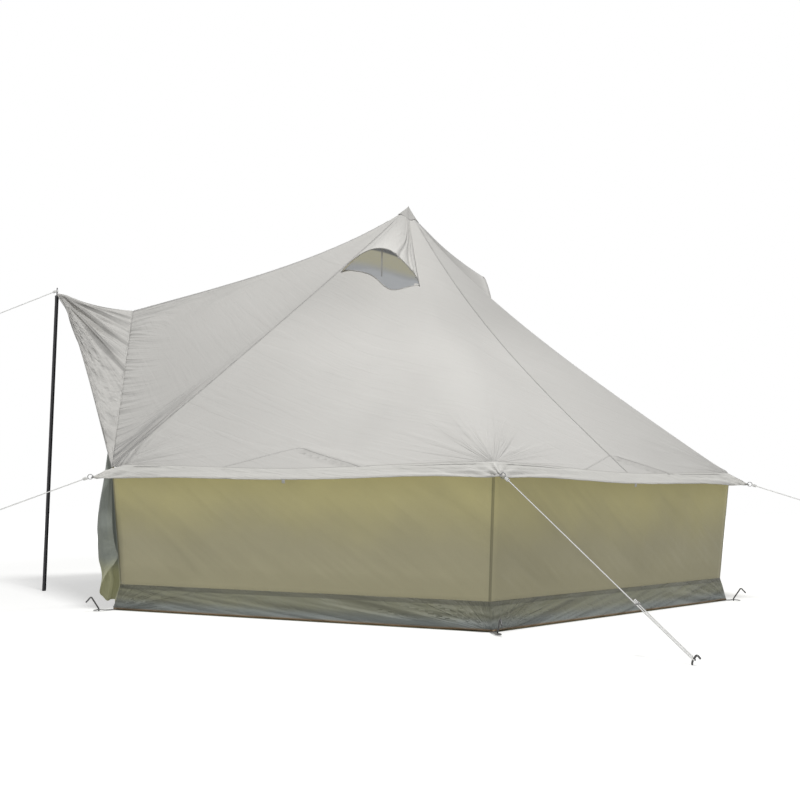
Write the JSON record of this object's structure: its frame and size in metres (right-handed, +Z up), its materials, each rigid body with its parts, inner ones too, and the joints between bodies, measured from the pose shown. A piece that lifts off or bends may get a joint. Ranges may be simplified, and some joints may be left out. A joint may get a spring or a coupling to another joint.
{
  "type": "bell tent",
  "caption": "Hexagonal canvas bell tent on a centre pole, with a pole-held awning over its open doorway, hooded roof vents, mud skirt, groundsheet, pegs and guy ropes.",
  "frame": {"origin": "on the ground under the centre pole, at the middle of the groundsheet's underside", "axes": "+Z up; -Y out of the doorway, towards the awning pole; +X from the centre to a corner of the hexagon"},
  "size_m": [5.2736, 5.3992, 2.7697],
  "materials": {
    "roof_canvas": "off-white cotton canvas, plain weave",
    "wall_canvas": "off-white canvas, darker and greener where light comes through it",
    "strip_canvas": "doubled off-white canvas",
    "coated_cloth": "grey coated cloth, slight sheen",
    "netting": "fine insect netting",
    "black_tube": "black painted steel tube",
    "steel": "bare steel",
    "rope": "white braided rope",
    "white_plastic": "white moulded plastic"
  },
  "bodies": {
    "tent": {"groundsheet": "coated_cloth", "mud_skirt_front": "coated_cloth", "mud_skirt_right": "coated_cloth", "mud_skirt_back": "coated_cloth", "mud_skirt_left_rear": "coated_cloth", "mud_skirt_left_front": "coated_cloth", "door_sill": "coated_cloth", "wall_front": "wall_canvas", "wall_right": "wall_canvas", "wall_back": "wall_canvas", "wall_left_rear": "wall_canvas", "wall_left_front": "wall_canvas", "roof_panel_front": "roof_canvas", "roof_panel_right": "roof_canvas", "roof_panel_back": "roof_canvas", "roof_panel_left_rear": "roof_canvas", "roof_panel_left_front": "roof_canvas", "roof_panel_door_right": "roof_canvas", "roof_panel_door_left": "roof_canvas", "awning_flank_right": "roof_canvas", "awning_flank_left": "roof_canvas", "apex_cap": "roof_canvas", "eave_strip": "strip_canvas", "vent_hood_1": "roof_canvas", "vent_hood_2": "roof_canvas", "vent_hood_3": "roof_canvas", "vent_mesh_1": "netting", "vent_mesh_2": "netting", "vent_mesh_3": "netting", "door_leaf_right": "wall_canvas", "door_leaf_left": "wall_canvas", "centre_pole_lower": "steel", "centre_pole_upper": "steel", "awning_pole_lower": "black_tube", "awning_pole_upper": "black_tube", "guy_ring_near": "steel", "guy_ring_right": "steel", "guy_ring_back_right": "steel", "guy_ring_back_left": "steel", "guy_ring_door_left": "steel", "guy_ring_left": "steel", "guy_rope_near": "rope", "guy_rope_right": "rope", "guy_rope_left": "rope", "guy_rope_awning": "rope", "guy_peg_near": "steel", "base_peg_near": "steel", "base_peg_right": "steel", "base_peg_back_right": "steel", "base_peg_back_left": "steel", "base_peg_door_left": "steel", "base_peg_left": "steel"},
    "slider": {"door_zip_slider": "steel"},
    "prop_front": {"vent_prop_1": "white_plastic"},
    "prop_back": {"vent_prop_2": "white_plastic"},
    "prop_left": {"vent_prop_3": "white_plastic"},
    "near_tensioner": {"tensioner_near": "white_plastic"},
    "right_tensioner": {"tensioner_right": "white_plastic"},
    "left_tensioner": {"tensioner_left": "white_plastic"},
    "awning_tensioner": {"tensioner_awning": "white_plastic"}
  },
  "joints": [
    {"name": "door_zip", "type": "slide", "parent": "tent", "child": "slider", "axis": [-1, 0, 0], "range_m": [0, 1.55]},
    {"name": "vent_prop_fold_front", "type": "hinge", "parent": "tent", "child": "prop_front", "pos_m": [0.46762, -0.26998, 2.0981], "axis": [-0.5, -0.866, 0], "range_deg": [0, 36], "deforming": ["vent_hood_1"]},
    {"name": "vent_prop_fold_back", "type": "hinge", "parent": "tent", "child": "prop_back", "pos_m": [0, 0.53997, 2.03285], "axis": [1, 0, 0], "range_deg": [0, 36], "deforming": ["vent_hood_2"]},
    {"name": "vent_prop_fold_left", "type": "hinge", "parent": "tent", "child": "prop_left", "pos_m": [-0.46762, -0.26998, 2.0981], "axis": [-0.5, 0.866, 0], "range_deg": [0, 36], "deforming": ["vent_hood_3"]},
    {"name": "tension_near", "type": "slide", "parent": "tent", "child": "near_tensioner", "axis": [-0.6368, -0.4537, 0.6235], "range_m": [-0.05, 0.15]},
    {"name": "tension_right", "type": "slide", "parent": "tent", "child": "right_tensioner", "axis": [-0.4734, -0.8199, 0.3219], "range_m": [-0.05, 0.15]},
    {"name": "tension_left", "type": "slide", "parent": "tent", "child": "left_tensioner", "axis": [-0.1607, 0.9112, 0.3793], "range_m": [-0.05, 0.15]},
    {"name": "tension_awning", "type": "slide", "parent": "tent", "child": "awning_tensioner", "axis": [0, 0.898, 0.44], "range_m": [-0.05, 0.15]}
  ]
}
